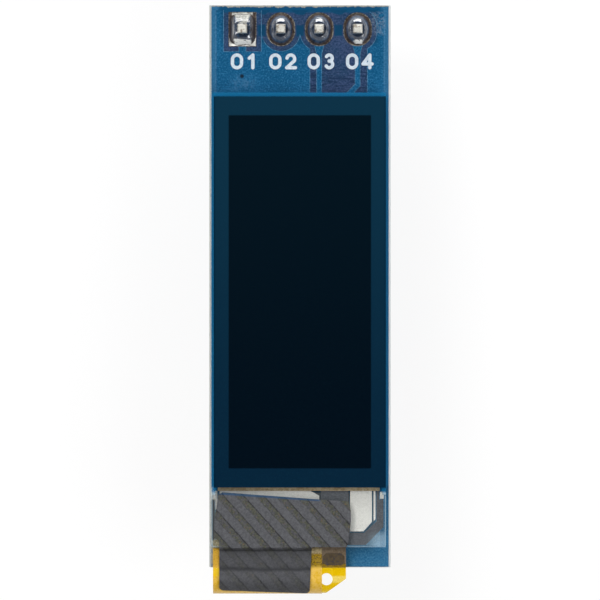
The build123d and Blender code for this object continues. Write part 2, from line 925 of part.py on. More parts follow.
def chip_body(place, height, name):
    """Ceramic body of a two ended part, inside its end terminals."""
    with BuildPart() as body:
        with BuildSketch(Plane.XY.offset(land_back - terminal_wall)):
            with Locations(place):
                Rectangle(chip_part_width - 2 * terminal_wall, chip_part_length - 2 * terminal_wall)
        extrude(amount=2 * terminal_wall - height)
    save(body, name)
    return body.part


def chip_terminals(places, height, bodies, name):
    """Plated ends of a set of two ended parts, as caps over their bodies."""
    with BuildPart() as terminals:
        with BuildSketch(Plane.XY.offset(land_back)) as ends:
            with Locations(*places):
                with GridLocations(0, chip_part_length - terminal_length, 1, 2):
                    Rectangle(chip_part_width, terminal_length)
        extrude(ends.sketch, amount=-height)
        add(bodies, mode=Mode.SUBTRACT)
    save(terminals, name)


# Capacitors and resistors
capacitor_bodies = [
    chip_body(place, capacitor_height, f"capacitor_{index + 1}")
    for index, place in enumerate(capacitor_places)
]
resistor_bodies = [
    chip_body(place, resistor_height, f"resistor_{index + 1}")
    for index, place in enumerate(resistor_places)
]
chip_terminals(capacitor_places, capacitor_height, capacitor_bodies, "capacitor_terminals")
chip_terminals(resistor_places, resistor_height, resistor_bodies, "resistor_terminals")

# Solder wedges at the ends of the capacitors and resistors
with BuildPart() as part_solder:
    heights = [capacitor_height] * len(capacitor_places) + [resistor_height] * len(resistor_places)
    for (across, along), height in zip(capacitor_places + resistor_places, heights):
        for side in (-1, 1):
            end = along + side * chip_part_length / 2
            with BuildSketch(Plane.YZ.offset(across - chip_part_width / 2)):
                with BuildLine():
                    Polyline(
                        (end, land_back),
                        (end + side * fillet_length, land_back),
                        (end, land_back - fillet_rise_share * height),
                        close=True,
                    )
                make_face()
            extrude(amount=chip_part_width)
save(part_solder, "part_solder")

# Voltage regulator: a moulded body with three bent leads
with BuildPart() as regulator_body:
    with BuildSketch(Plane.XY.offset(land_back - body_lift)):
        with Locations(regulator_place):
            Rectangle(regulator_width, regulator_depth)
    extrude(amount=-regulator_height)
    chamfer(regulator_body.faces().sort_by(Axis.Z)[0].edges(), regulator_chamfer)
save(regulator_body, "regulator_body")

with BuildPart() as regulator_leads:
    for place, side in regulator_lead_places:
        start = supply_row + side * regulator_depth / 2
        knee = start + side * (regulator_lead_reach - regulator_foot)
        tip = start + side * regulator_lead_reach
        waist = land_back - body_lift - regulator_height / 2
        foot = land_back - regulator_lead_thickness / 2
        with BuildSketch(Plane.YZ.offset(place - regulator_lead_width / 2)):
            with BuildLine():
                Polyline((start, waist), (knee, waist), (knee, foot), (tip, foot))
            trace(line_width=regulator_lead_thickness)
        extrude(amount=regulator_lead_width)
save(regulator_leads, "regulator_leads")

# Diode: a small moulded body with two flat leads
with BuildPart() as diode_body:
    with BuildSketch(Plane.XY.offset(land_back - body_lift)):
        with Locations(diode_place):
            Rectangle(diode_width, diode_length)
    extrude(amount=-diode_height)
    chamfer(diode_body.faces().sort_by(Axis.Z)[0].edges(), regulator_chamfer)
save(diode_body, "diode_body")

with BuildPart() as diode_leads:
    with BuildSketch(Plane.XY.offset(land_back)):
        with Locations(diode_place):
            with GridLocations(0, diode_length + diode_lead_reach, 1, 2):
                Rectangle(diode_lead_width, diode_lead_reach)
    extrude(amount=-diode_lead_thickness)
save(diode_leads, "diode_leads")

# Solder from each lead of the film's tail to its pad
with BuildPart() as tail_solder:
    lead_face = film_back - film_thickness - lead_thickness
    for place in lead_places:
        with BuildSketch(Plane.YZ.offset(place - lead_width / 2)):
            with BuildLine():
                Polyline(
                    (tail_end - tail_solder_lap, lead_face),
                    (tail_end, lead_face),
                    (tail_end, land_back),
                    (tail_end + tail_solder_length, land_back),
                )
                ThreePointArc(
                    (tail_end + tail_solder_length, land_back),
                    (tail_end + tail_solder_length / 4, lead_face - tail_solder_rise),
                    (tail_end - tail_solder_lap, lead_face),
                )
            make_face()
        extrude(amount=lead_width)
save(tail_solder, "tail_solder")
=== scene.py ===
import math

import bmesh
import bpy
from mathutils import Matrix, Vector, noise


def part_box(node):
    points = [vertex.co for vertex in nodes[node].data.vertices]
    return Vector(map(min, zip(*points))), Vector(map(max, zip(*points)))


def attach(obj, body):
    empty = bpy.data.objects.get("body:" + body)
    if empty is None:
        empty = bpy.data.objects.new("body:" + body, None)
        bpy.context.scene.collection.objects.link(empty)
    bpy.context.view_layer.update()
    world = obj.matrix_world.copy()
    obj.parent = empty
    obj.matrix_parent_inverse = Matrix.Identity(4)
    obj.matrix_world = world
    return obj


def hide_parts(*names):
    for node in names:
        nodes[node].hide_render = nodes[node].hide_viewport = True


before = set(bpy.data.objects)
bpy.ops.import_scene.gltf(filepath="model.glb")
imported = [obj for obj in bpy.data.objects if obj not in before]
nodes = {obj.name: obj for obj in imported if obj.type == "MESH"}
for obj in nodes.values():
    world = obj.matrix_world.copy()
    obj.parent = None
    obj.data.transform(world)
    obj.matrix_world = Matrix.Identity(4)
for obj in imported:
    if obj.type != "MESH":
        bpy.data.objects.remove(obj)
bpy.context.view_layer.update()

scene = bpy.context.scene

MM = 0.001
MERGE_DISTANCE = 1e-7  # metres, joins the corners that the CAD meshes have more than once

# Sizes and places in millimetres in the part's frame: x across, y along, z up.
BOARD_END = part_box("circuit_board")[0].y / MM
PITCH = 2.54
PAD_STRAIGHT = 0.175  # half the straight part of the oval pads
VIA = (-3.84, -3.1)
FRONT_MASK_TOP = 3.75
FRONT_MASK_STEP = 3.745  # between the mask's two levels, over copper and over bare core
BACK_MASK_STEP = 2.545
MASK_STEP_SOFT = 0.004
LEVEL_SLACK = 0.002  # how far an edge may be from the mask's top and still count as in it
RIDGE_WIDTH = 0.035
RIDGE_HEIGHT = 0.004
PAD_ROW_HALF = 3.3  # the ridges end lower between the pads, within this distance of the middle
RIDGE_END_INSIDE = -0.4
RIDGE_END_OUTSIDE = 1.05
LEDGE_START = -30.7
RESISTOR_FILM_STEP = (2.24, 2.2)
FILM_MIDDLE = 3.3  # height that parts the folded film's front from its back

# Areas of the marks that the photo shows: columns run along x and rows along y.
WORN_COLUMNS, WORN_ROWS = (-4.5, -3.1), (-4.0, -3.1)
SCUFF_COLUMNS, SCUFF_ROWS = (4.75, 5.65), (-0.35, 1.1)
STREAK_ROWS = (-4.1, -2.6)
PURPLE_ROWS = (0.35, 0.98)
# Painted shade: the dark spots between the pads.
SHADE_SPOT_COLUMNS, SHADE_SPOT_ROWS = (-0.26, 0.26), (-0.45, 0.3)  # columns from midway between two pads
# Painted light: the strips next to the panel and the pale area under the ledge.
BESIDE_ROWS = (-30.2, -4.4)
PALE_ROWS = (-34.2, -30.6)
GREY_SMEAR_ROWS = (-32.8, -31.2)
WHITE_SMEAR_ROWS = (-31.05, -30.3)
SQUARE_TIN_COLUMNS, SQUARE_TIN_ROWS = (-4.4, -3.22), (-1.02, -0.66)
# Painted highlight on the square joint's upper slope, widening upward.
SQUARE_HIGHLIGHT_ROWS = (0.36, 1.0)
POINTED_TIN_COLUMNS, POINTED_TIN_ROWS = (3.58, 4.12), (-0.98, -0.72)
EAR_FOOT_COLUMNS, EAR_FOOT_ROWS = (1.5, 2.95), (-35.38, -35.1)
MUSTARD_ROWS = (BOARD_END, BOARD_END + 0.25)
GLARE_ROWS = (-36.6, -36.15)
BEND_ROWS = (-36.15, -35.6)
# Painted shade in the tape's two creases.
UPPER_CREASE_SHADE_ROWS = (-34.5, -34.4)
LOWER_CREASE_SHADE_ROWS = (-35.8, -35.58)

# Ribs and folds of the cover tape, in millimetres and degrees.
RIB_PITCH = 0.985
RIB_GAP = 0.4
RIB_ANGLE = 48
RIB_SHIFT = -0.93
FOLD_CENTER = -36.325
FOLD_HEIGHT = 3.465
TAPE_STEP_END = -34.44
TAPE_END = -37.3
CREASES = (-34.5, -35.62)
COARSE_CUT = 0.2
FINE_CUT = 0.07
FINE_CUT_START = -34.2
FLAT_LIFT = 0.02  # how far the tape stands off at most on the ledge
PILLOW_LIFT = 0.1  # between its creases, where it is even
FOLD_LIFT = 0.11  # round the fold, where it is even
PILLOW_POWER = 0.8  # under 1 fills the pillows out

# Camera, light and floor, with lengths in metres where nothing else is said.
VIEW_MIDDLE = Vector((0, -17.91 * MM, 4 * MM))
HEADER_MIDDLE = Vector((0, 0, 4 * MM))
VIEW_WIDTH = 39.68 * MM
LENS = 400  # millimetres, like the sensor
SENSOR = 36
FLOOR_HALF = 2.0
FLOOR_DROP = 0.0001  # below the pins' lower ends
FLOOR_GLOW = 1.04
SHADOW_MIDDLE = (0, -17.9)  # millimetres, round here the glow lets the part's shadow show
SHADOW_REACH = (25.0, 70.0)  # millimetres from that middle, where the glow grows to its full share
SHADOW_GLOW_SHARE = 0.82
CEILING_STEP = (0.45, 0.95)  # between these shares of straight up the sky darkens
CEILING_LEVELS = (0.3, 0.015)
HORIZON_END = 0.25  # up to this share of straight up, mirrors see the white backdrop


def srgb(code):
    """Linear colour of a code such as "#1b78ab"."""
    out = []
    for k in (1, 3, 5):
        c = int(code[k : k + 2], 16) / 255
        out.append(c / 12.92 if c <= 0.04045 else ((c + 0.055) / 1.055) ** 2.4)
    return tuple(out)


class Nodes:
    """Adds and joins nodes in one shader tree."""

    def __init__(self, owner):
        self.tree = owner.node_tree

    def put(self, kind, settings=None, **inputs):
        node = self.tree.nodes.new(kind)
        for key, value in (settings or {}).items():
            setattr(node, key, value)
        for key, value in inputs.items():
            self.set(node.inputs[key.replace("_", " ")], value)
        return node

    def set(self, socket, value):
        if isinstance(value, bpy.types.NodeSocket):
            self.tree.links.new(value, socket)
        else:
            socket.default_value = value

    def calc(self, operation, a, b=None, clamp=False):
        node = self.put("ShaderNodeMath", {"operation": operation, "use_clamp": clamp})
        self.set(node.inputs[0], a)
        if b is not None:
            self.set(node.inputs[1], b)
        return node.outputs[0]

    def add(self, a, b):
        return self.calc("ADD", a, b)

    def subtract(self, a, b):
        return self.calc("SUBTRACT", a, b)

    def absolute(self, a):
        return self.calc("ABSOLUTE", a)

    def multiply(self, first, *others):
        for other in others:
            first = self.calc("MULTIPLY", first, other)
        return first

    def maximum(self, first, *others):
        for other in others:
            first = self.calc("MAXIMUM", first, other)
        return first

    def length(self, across, along):
        """The diagonal of two sides."""
        square = self.add(self.multiply(across, across), self.multiply(along, along))
        return self.calc("SQRT", square)

    def ramp(self, value, low, high, to_low=0.0, to_high=1.0, kind="SMOOTHSTEP"):
        """Takes low..high to to_low..to_high and stays level beyond. low may be the larger."""
        node = self.put("ShaderNodeMapRange", {"interpolation_type": kind})
        self.set(node.inputs["Value"], value)
        node.inputs["From Min"].default_value = low
        node.inputs["From Max"].default_value = high
        node.inputs["To Min"].default_value = to_low
        node.inputs["To Max"].default_value = to_high
        return node.outputs[0]

    def slab(self, value, low, high, soft):
        """1 between two values and 0 beyond them, with soft sides."""
        up = self.ramp(value, low - soft, low + soft)
        down = self.ramp(value, high - soft, high + soft, 1.0, 0.0)
        return self.multiply(up, down)

    def sway(self, value, amount):
        """Turns a noise from 0 to 1 into one of that amount on both sides of zero."""
        return self.multiply(self.subtract(value, 0.5), amount)

    def color(self, value):
        """A socket as it is, and a colour code or a linear colour as a value with alpha."""
        if isinstance(value, bpy.types.NodeSocket):
            return value
        return (*(srgb(value) if isinstance(value, str) else value), 1)

    def mix(self, factor, a, b):
        node = self.put("ShaderNodeMix", {"data_type": "RGBA"})
        self.set(node.inputs[0], factor)
        self.set(node.inputs[6], self.color(a))
        self.set(node.inputs[7], self.color(b))
        return node.outputs[2]

    def tones(self, value, low, high, a, b):
        """Goes from colour a to colour b as the value goes from low to high."""
        return self.mix(self.ramp(value, low, high), a, b)

    def join(self, factor, first, second):
        """Mixes two shaders."""
        node = self.put("ShaderNodeMixShader")
        self.set(node.inputs[0], factor)
        self.set(node.inputs[1], first)
        self.set(node.inputs[2], second)
        return node.outputs[0]


class Surface(Nodes):
    """A new material, with the place of each point in millimetres as vector, x, y and z."""

    def __init__(self, name, color=(0.8, 0.8, 0.8), roughness=0.5, metallic=0.0, **settings):
        self.material = bpy.data.materials.new(name)
        self.material.use_nodes = True
        super().__init__(self.material)
        self.shader = self.tree.nodes["Principled BSDF"]
        self.use("Base Color", (*color, 1))
        self.use("Roughness", roughness)
        self.use("Metallic", metallic)
        for key, value in settings.items():
            self.use(key.replace("_", " "), value)
        scale = self.put("ShaderNodeVectorMath", {"operation": "SCALE"}, Scale=1 / MM)
        self.set(scale.inputs[0], self.put("ShaderNodeNewGeometry").outputs["Position"])
        self.vector = scale.outputs[0]
        self.x, self.y, self.z = self.split(self.vector)

    def use(self, socket, value):
        self.set(self.shader.inputs[socket], value)

    def split(self, vector):
        node = self.put("ShaderNodeSeparateXYZ")
        self.set(node.inputs[0], vector)
        return node.outputs

    def noise(self, scale, detail=3.0, roughness=0.55, distortion=0.0, stretch=None):
        vector = self.vector
        if stretch:
            node = self.put("ShaderNodeVectorMath", {"operation": "MULTIPLY"})
            self.set(node.inputs[0], vector)
            node.inputs[1].default_value = stretch
            vector = node.outputs[0]
        node = self.put("ShaderNodeTexNoise", Scale=scale, Detail=detail, Roughness=roughness)
        self.set(node.inputs["Vector"], vector)
        node.inputs["Distortion"].default_value = distortion
        return node.outputs[0]

    def area(self, columns, rows, soft_across, soft_along):
        """1 inside an area, with soft sides."""
        across = self.slab(self.x, *columns, soft_across)
        return self.multiply(across, self.slab(self.y, *rows, soft_along))

    def bump(self, height, depth, strength=1.0):
        """Bump of that depth in millimetres."""
        node = self.put("ShaderNodeBump", Distance=depth * MM, Strength=strength)
        self.set(node.inputs["Height"], height)
        return node.outputs[0]

    def finish(self, shader):
        """Gives the material this shader in place of its first one."""
        self.set(self.tree.nodes["Material Output"].inputs["Surface"], shader)


def grained(name, scale, dark, light, shine=None, relief=None, spread=0.15, coarse=0.7, **settings):
    """A material of two near tones in a fine grain.

    shine is the roughness in its dark and in its light parts, relief the bump's depth and
    strength, and spread says how far the tones blend on each side of the grain's middle.
    """
    t = Surface(name, **settings)
    grain = t.noise(scale, 4.0, coarse)
    t.use("Base Color", t.tones(grain, 0.5 - spread, 0.5 + spread, dark, light))
    if shine:
        t.use("Roughness", t.ramp(grain, 0.3, 0.7, *shine))
    if relief:
        t.use("Normal", t.bump(grain, *relief))
    return t.material


def dress(mat, *names):
    """Gives CAD nodes one material."""
    for name in names:
        mesh = nodes[name].data
        mesh.materials.clear()
        mesh.materials.append(mat)
        for polygon in mesh.polygons:
            polygon.material_index = 0


def numbered(name, count):
    return [f"{name}_{k}" for k in range(1, count + 1)]


# Board.


def mask_material(name, step, side):
    """Blue solder mask, a purple blue where no copper lies under it. side is 1 on the front."""
    t = Surface(name, roughness=0.34, Specular_IOR_Level=0.12)
    x, y = t.x, t.y
    across = t.absolute(x)
    over = t.ramp(t.z, step - MASK_STEP_SOFT * side, step + MASK_STEP_SOFT * side)
    broad = t.noise(0.25, 3.0)
    fine = t.noise(8.0, 5.0, 0.75)
    grit = t.noise(16.0, 4.0, 0.8)

    # Over copper, darker toward the top as painted shade where the mask shows less sheen, with a
    # worn patch by the via, and more painted shade from about the pads' lower ends upward.
    copper = t.tones(broad, 0.38, 0.62, "#015079", "#0f5b86")
    copper = t.mix(t.ramp(fine, 0.5, 0.62, 0.0, 0.75), copper, "#2f739c")
    copper = t.mix(t.ramp(fine, 0.5, 0.38, 0.0, 0.75), copper, "#003f66")
    # Painted shade: a darker top.
    copper = t.mix(t.ramp(y, 1.1, 1.25, 0.0, 0.6), copper, "#00446b")
    worn = t.area(WORN_COLUMNS, WORN_ROWS, 0.3, 0.2)
    worn = t.multiply(worn, t.ramp(t.noise(2.2, 4.0, 0.7), 0.42, 0.56, 0.0, 0.8))
    copper = t.mix(worn, copper, "#376b90")
    # Painted shade from about the pads' lower ends upward.
    upper = t.multiply(t.ramp(y, -1.15, -0.75, 0.0, 0.85), t.ramp(across, 5.3, 5.0))
    copper = t.mix(upper, copper, "#003c5e")

    # Over bare core, with dark streaks in the lower windows and a paler blue along the edges.
    bare = t.tones(broad, 0.4, 0.6, "#1f3d5e", "#2f4266")
    bare = t.mix(t.ramp(fine, 0.5, 0.62, 0.0, 0.7), bare, "#46587a")
    bare = t.mix(t.ramp(fine, 0.5, 0.38, 0.0, 0.7), bare, "#0b2c48")
    streaks = t.noise(1.4, 4.0, 0.7, stretch=(0.7, 4.5, 1.0))
    streaks = t.multiply(t.ramp(streaks, 0.48, 0.56, 0.0, 0.75), t.slab(y, *STREAK_ROWS, 0.2))
    bare = t.mix(streaks, bare, "#0a2744")
    # Painted shade: near the top edge the bare core takes the dark teal of shaded copper under the
    # mask.
    bare = t.mix(t.ramp(y, 1.0, 1.2), bare, "#02466c")
    rim = t.maximum(t.ramp(across, 5.2, 5.55), t.ramp(y, BOARD_END + 0.6, BOARD_END + 0.3))
    bare = t.mix(rim, bare, t.tones(fine, 0.35, 0.65, "#1b5a82", "#326c93"))
    color = t.mix(over, bare, copper)

    if side > 0:
        # A purple band, and dark spots between the pads that are painted shade on the copper there.
        row = t.ramp(across, PAD_ROW_HALF, 3.0)
        shaken = t.add(y, t.sway(t.noise(2.5), 0.3))
        color = t.mix(t.multiply(row, t.slab(shaken, *PURPLE_ROWS, 0.06)), color, bare)
        nearest = t.multiply(t.calc("ROUND", t.calc("DIVIDE", x, PITCH)), PITCH)
        shade_spot = t.slab(t.subtract(x, nearest), *SHADE_SPOT_COLUMNS, 0.08)
        shade_spot = t.multiply(shade_spot, t.slab(shaken, *SHADE_SPOT_ROWS, 0.08))
        color = t.mix(t.multiply(row, shade_spot), color, "#003c5e")
        # Painted light: lighter strips next to the panel where its shadow falls, and a pale painted
        # light from the ledge down, palest under the ledge.
        beside = t.multiply(t.ramp(across, 5.6, 5.66), t.slab(y, *BESIDE_ROWS, 0.1))
        color = t.mix(t.multiply(beside, 0.6), color, "#1b78ab")
        pale_light = t.tones(fine, 0.4, 0.6, "#23658f", "#4580a6")
        under_ledge = t.multiply(t.slab(y, *PALE_ROWS, 0.1), t.ramp(x, 5.35, 5.25))
        pale_light = t.mix(under_ledge, pale_light, t.tones(fine, 0.4, 0.6, "#5a92b8", "#86b2ce"))
        color = t.mix(t.ramp(y, -30.4, -31.4, 0.0, 0.85), color, pale_light)

    # Smears along the lower left edge.
    smear = t.multiply(t.ramp(x, -5.55, -5.62), t.ramp(y, -30.2, -30.4))
    if side < 0:
        smear = t.multiply(smear, over)
    tint = t.mix(t.slab(y, *GREY_SMEAR_ROWS, 0.15), "#b7b19c", "#707a75")
    tint = t.mix(t.ramp(t.noise(4.0, 4.0, 0.7), 0.45, 0.6), tint, "#8c98a4")
    tint = t.mix(t.slab(y, *WHITE_SMEAR_ROWS, 0.05), tint, "#e8e7e0")
    color = t.mix(smear, color, tint)

    # The via, scuffs at the upper right corner, specks, and the chipped top edge.
    from_via = t.length(t.subtract(x, VIA[0]), t.subtract(y, VIA[1]))
    via = t.ramp(from_via, 0.08, 0.18, 1.0, 0.0)
    color = t.mix(via, color, "#0c2436")
    scuffs = t.area(SCUFF_COLUMNS, SCUFF_ROWS, 0.12, 0.15)
    scratch = t.noise(3.2, 4.0, 0.6, 1.6, stretch=(1.0, 1.6, 1.0))
    scuffs = t.multiply(scuffs, t.slab(scratch, 0.5, 0.54, 0.02), 0.75)
    color = t.mix(scuffs, color, "#8c98a4")
    color = t.mix(t.ramp(grit, 0.68, 0.8, 0.0, 0.55), color, "#b4bfc4")
    chipped = t.add(y, t.sway(t.noise(3.4, 4.0, 0.75, stretch=(1.0, 0.3, 0.3)), 0.35))
    chipped = t.multiply(t.ramp(chipped, 1.46, 1.5), t.ramp(grit, 0.42, 0.5, 0.35, 1.0))
    color = t.mix(chipped, color, t.tones(grit, 0.45, 0.6, "#b9b49f", "#8c8d86"))

    t.use("Base Color", color)
    t.use("Roughness", t.ramp(fine, 0.3, 0.7, 0.3, 0.5))
    t.use("Normal", t.bump(fine, 0.02, 0.5))
    return t.material


def mask_ridges(node, level):
    """A fine raised line of mask, closed all round, along each edge of the copper under it."""
    source = bmesh.new()
    source.from_mesh(nodes[node].data)
    bmesh.ops.remove_doubles(source, verts=source.verts, dist=MERGE_DISTANCE)
    out = bmesh.new()
    width = RIDGE_WIDTH * MM
    rise = Vector((0, 0, RIDGE_HEIGHT * MM))
    sink = rise * -0.25
    for edge in source.edges:
        start, end = (vert.co for vert in edge.verts)
        if max(abs(start.z - level), abs(end.z - level)) > LEVEL_SLACK * MM:
            continue
        flat = any(abs(face.normal.z) > 0.9 for face in edge.link_faces)
        wall = any(abs(face.normal.z) < 0.1 for face in edge.link_faces)
        along = end - start
        highest = RIDGE_END_INSIDE if abs(start.x) < PAD_ROW_HALF * MM else RIDGE_END_OUTSIDE
        if not (flat and wall) or along.length < 1e-6 or min(start.y, end.y) > highest * MM:
            continue
        aside = Vector((-along.y, along.x, 0)).normalized() * width / 2
        lap = along.normalized() * width / 4
        ends = []
        for point in (start - lap, end + lap):
            corners = (point + aside + sink, point + rise, point - aside + sink)
            ends.append([out.verts.new(corner) for corner in corners])
        first, last = ends
        out.faces.new((first[0], last[0], last[1], first[1]))
        out.faces.new((first[1], last[1], last[2], first[2]))
        out.faces.new((first[2], last[2], last[0], first[0]))
        out.faces.new(first)
        out.faces.new(last[::-1])
    bmesh.ops.recalc_face_normals(out, faces=out.faces)
    mesh = bpy.data.meshes.new(node + "_ridges")
    out.to_mesh(mesh)
    out.free()
    source.free()
    obj = bpy.data.objects.new(node + "_ridges", mesh)
    scene.collection.objects.link(obj)
    return obj


def laminate_material():
    """Cut glass laminate: pale woven edges in layers, and brown flux in the pads' openings."""
    t = Surface("glass_laminate", roughness=0.75)
    x, y, z = t.x, t.y, t.z
    weave = t.noise(3.0, 5.0, 0.8, stretch=(3.0, 5.0, 9.0))
    chips = t.noise(9.0, 4.0, 0.7)
    color = t.tones(weave, 0.36, 0.6, "#b0bbbd", "#e0e1dc")
    layers = t.slab(t.calc("FRACT", t.multiply(z, 5.4)), 0.3, 0.6, 0.15)
    color = t.mix(t.multiply(layers, t.ramp(z, 3.66, 3.6, 0.0, 0.5)), color, "#9c9a80")
    color = t.mix(t.ramp(chips, 0.6, 0.72), color, "#98947c")
    # Painted light: the bevel along the right side made near white.
    bevel = t.multiply(t.ramp(x, 5.75, 5.85), t.ramp(z, 3.2, 3.4, 0.0, 0.7))
    color = t.mix(bevel, color, "#f3fbff")
    openings = t.multiply(t.ramp(t.absolute(x), 5.0, 4.9), t.ramp(y, -1.5, -1.4))
    openings = t.multiply(openings, t.ramp(y, 1.3, 1.2))
    color = t.mix(openings, color, t.tones(chips, 0.48, 0.56, "#4a4038", "#a5a396"))
    t.use("Base Color", color)
    t.use("Normal", t.bump(weave, 0.08, 0.8))
    return t.material


dress(mask_material("front_mask_blue", FRONT_MASK_STEP, 1), "front_solder_mask")
dress(mask_material("back_mask_blue", BACK_MASK_STEP, -1), "back_solder_mask")

front_ridges = mask_ridges("front_solder_mask", FRONT_MASK_TOP * MM)
# Painted highlight: the ridges' lighter blue stands for light along the copper's edges.
front_ridges.data.materials.append(
    grained(
        "mask_ridge_highlight",
        6.0,
        "#1a5880",
        "#4f89ab",
        shine=(0.3, 0.5),
        spread=0.08,
        roughness=0.4,
        Specular_IOR_Level=0.3,
    )
)
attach(front_ridges, "root")

dress(laminate_material(), "circuit_board")


# Pads, pins and solder.


def pad_material():
    """Tinned pads with brown flux at their sides, and a broken pale rim round the oval ones."""
    t = Surface("tinned_pad", metallic=0.6, roughness=0.3)
    x, y = t.x, t.y
    patch = t.noise(1.9, 4.0, 0.6)
    grain = t.noise(6.0, 4.0, 0.7)
    bright = t.tones(patch, 0.35, 0.6, "#bdbdb8", "#f4f3ec")
    brown = t.tones(grain, 0.35, 0.65, "#3d322e", "#62544c")

    column = t.calc("FLOOR", t.calc("DIVIDE", x, PITCH))
    across = t.subtract(x, t.multiply(t.add(column, 0.5), PITCH))
    along = t.maximum(t.subtract(t.absolute(y), PAD_STRAIGHT), 0.0)
    around = t.length(across, along)
    pale_rim = t.tones(grain, 0.46, 0.56, "#4d453f", "#98968b")
    oval = t.mix(t.ramp(around, 0.86, 0.89), brown, pale_rim)

    sides = t.ramp(t.absolute(t.add(x, 1.5 * PITCH)), 0.64, 0.72)
    square = t.mix(t.multiply(sides, t.ramp(y, -0.62, -0.52)), bright, brown)
    first = t.ramp(x, -2.6, -2.5, 1.0, 0.0)
    t.use("Base Color", t.mix(first, oval, square))
    t.use("Roughness", t.ramp(patch, 0.3, 0.7, 0.22, 0.42))
    t.use("Normal", t.bump(t.noise(2.4, 3.0), 0.12, 0.5))
    return t.material


def pin_material():
    """Tinned pins, scratched along their length, with duller cut tips."""
    t = Surface("tinned_pin", metallic=1.0, roughness=0.3)
    scratch = t.noise(3.0, 4.0, 0.7, stretch=(9.0, 9.0, 0.9))
    bits = t.noise(3.4, 4.0, 0.7, 0.6)
    pin_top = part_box("header_pin_1")[1].z / MM
    top = t.ramp(t.z, pin_top - 0.12, pin_top - 0.05)
    metal = t.tones(scratch, 0.3, 0.7, "#b3afa6", "#c7c3ba")
    tip = t.tones(bits, 0.5, 0.6, "#e4e2d9", "#968b7c")
    t.use("Base Color", t.mix(top, metal, tip))
    t.use("Metallic", t.subtract(1.0, t.multiply(top, 0.75)))
    t.use("Roughness", t.ramp(scratch, 0.3, 0.7, 0.2, 0.3))
    t.use("Normal", t.bump(t.multiply(bits, top), 0.05, 0.6))
    return t.material


def solder_material(name, columns=None, rows=None, highlight_wedge=None):
    """Solder with a brown foot, its dark blue body and a lighter ring painted as reflections of its
    surroundings.

    A bright bare patch of tinning shows in these columns and rows, if any, and a painted
    highlight in line with it that widens upward, given by its rows.
    """
    t = Surface(name, roughness=0.3, Coat_Weight=1.0, Coat_IOR=3.0, Coat_Roughness=0.09)
    x, y, z = t.x, t.y, t.z
    swirl = t.noise(1.5, 4.0, 0.6, 0.8)
    grain = t.noise(7.0, 5.0, 0.75)
    # Painted reflection: the dark blue body stands for dark surroundings seen in the mirror solder,
    # and the lighter ring above it for the horizon.
    body = t.tones(grain, 0.38, 0.62, "#0a1a35", "#2b4768")
    body = t.mix(t.multiply(t.slab(z, 4.0, 4.06, 0.05), 0.4), body, "#76808b")
    low = t.ramp(t.add(z, t.multiply(grain, 0.08)), 3.9, 3.99, 1.0, 0.0)
    body = t.mix(low, body, t.tones(grain, 0.4, 0.6, "#33291f", "#5d4e45"))
    coat = t.ramp(z, 3.95, 4.12, 0.3, 1.0)
    metal = t.ramp(swirl, 0.3, 0.7, 0.1, 0.3)
    if columns:
        shake = t.noise(2.4, 4.0, 0.65)
        tin_and_highlight = t.slab(t.add(x, t.sway(shake, 0.5)), *columns, 0.08)
        tin_and_highlight = t.multiply(tin_and_highlight, t.slab(t.add(y, t.sway(shake, 0.35)), *rows, 0.04))
        tin_and_highlight = t.multiply(tin_and_highlight, t.ramp(grain, 0.36, 0.42))
        # Painted highlight on the upper slope, widening upward, with darker sides beside it.
        if highlight_wedge:
            aside = t.absolute(t.subtract(x, sum(columns) / 2))
            half = t.add(t.multiply(t.subtract(y, highlight_wedge[0]), 0.45), 0.26)
            inside = t.ramp(t.subtract(aside, half), -0.04, 0.05, 1.0, 0.0)
            cloudy = t.ramp(t.noise(3.0, 4.0, 0.65, 0.6), 0.36, 0.46, 0.2, 1.0)
            tin_and_highlight = t.maximum(tin_and_highlight, t.multiply(inside, t.slab(y, *highlight_wedge, 0.06), cloudy))
            body = t.mix(t.ramp(aside, 0.5, 0.62, 0.0, 0.85), body, "#382d28")
        highlight_grey = t.tones(grain, 0.4, 0.6, "#8f908c", "#cfcec7")
        body = t.mix(tin_and_highlight, body, t.tones(y, -0.2, 0.2, "#fbfaf4", highlight_grey))
        coat = t.multiply(coat, t.subtract(1.0, t.multiply(tin_and_highlight, 0.85)))
        metal = t.multiply(metal, t.subtract(1.0, tin_and_highlight))
    t.use("Base Color", body)
    t.use("Metallic", metal)
    t.use("Coat Weight", coat)
    bumps = t.bump(swirl, 0.09, 0.6)
    t.use("Normal", bumps)
    t.use("Coat Normal", bumps)
    return t.material


def plain_solder_material():
    """Clean bright solder of the parts on the back."""
    t = Surface("solder_bright", metallic=1.0, roughness=0.25)
    grain = t.noise(6.0, 4.0, 0.7)
    t.use("Base Color", t.tones(grain, 0.35, 0.65, "#b2b3b1", "#d6d6d2"))
    t.use("Roughness", t.ramp(grain, 0.3, 0.7, 0.2, 0.34))
    t.use("Normal", t.bump(t.noise(3.0, 3.0, 0.5), 0.03, 0.6))
    return t.material


